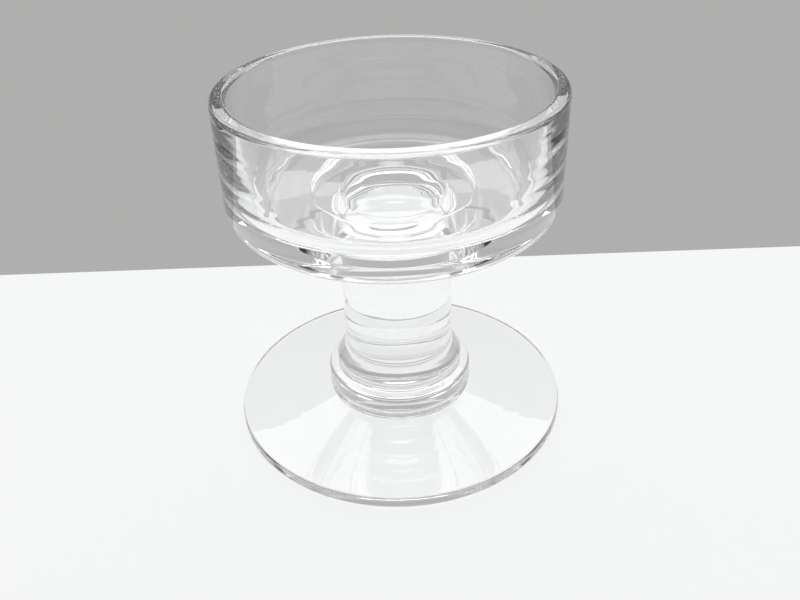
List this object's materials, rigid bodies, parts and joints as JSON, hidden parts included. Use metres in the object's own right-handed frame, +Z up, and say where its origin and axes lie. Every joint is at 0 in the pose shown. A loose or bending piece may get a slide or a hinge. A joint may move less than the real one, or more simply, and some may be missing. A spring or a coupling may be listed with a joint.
{
  "type": "tealight holder",
  "caption": "Clear glass candle holder: a wide cup with a round tealight seat and a central candle recess in its floor, on a short solid stem with a double collar and a round foot.",
  "frame": {"origin": "on the upright axis, in the plane that the foot stands on", "axes": "+Z up along the axis of the cup, stem and foot; X and Y are equivalent, because the part is round"},
  "size_m": [0.085, 0.085, 0.0868],
  "materials": {
    "clear_glass": "polished, clear and colourless"
  },
  "bodies": {
    "root": {"cup": "clear_glass", "stem": "clear_glass", "shoulder_ring": "clear_glass", "collar_ring": "clear_glass", "foot": "clear_glass"}
  },
  "joints": []
}
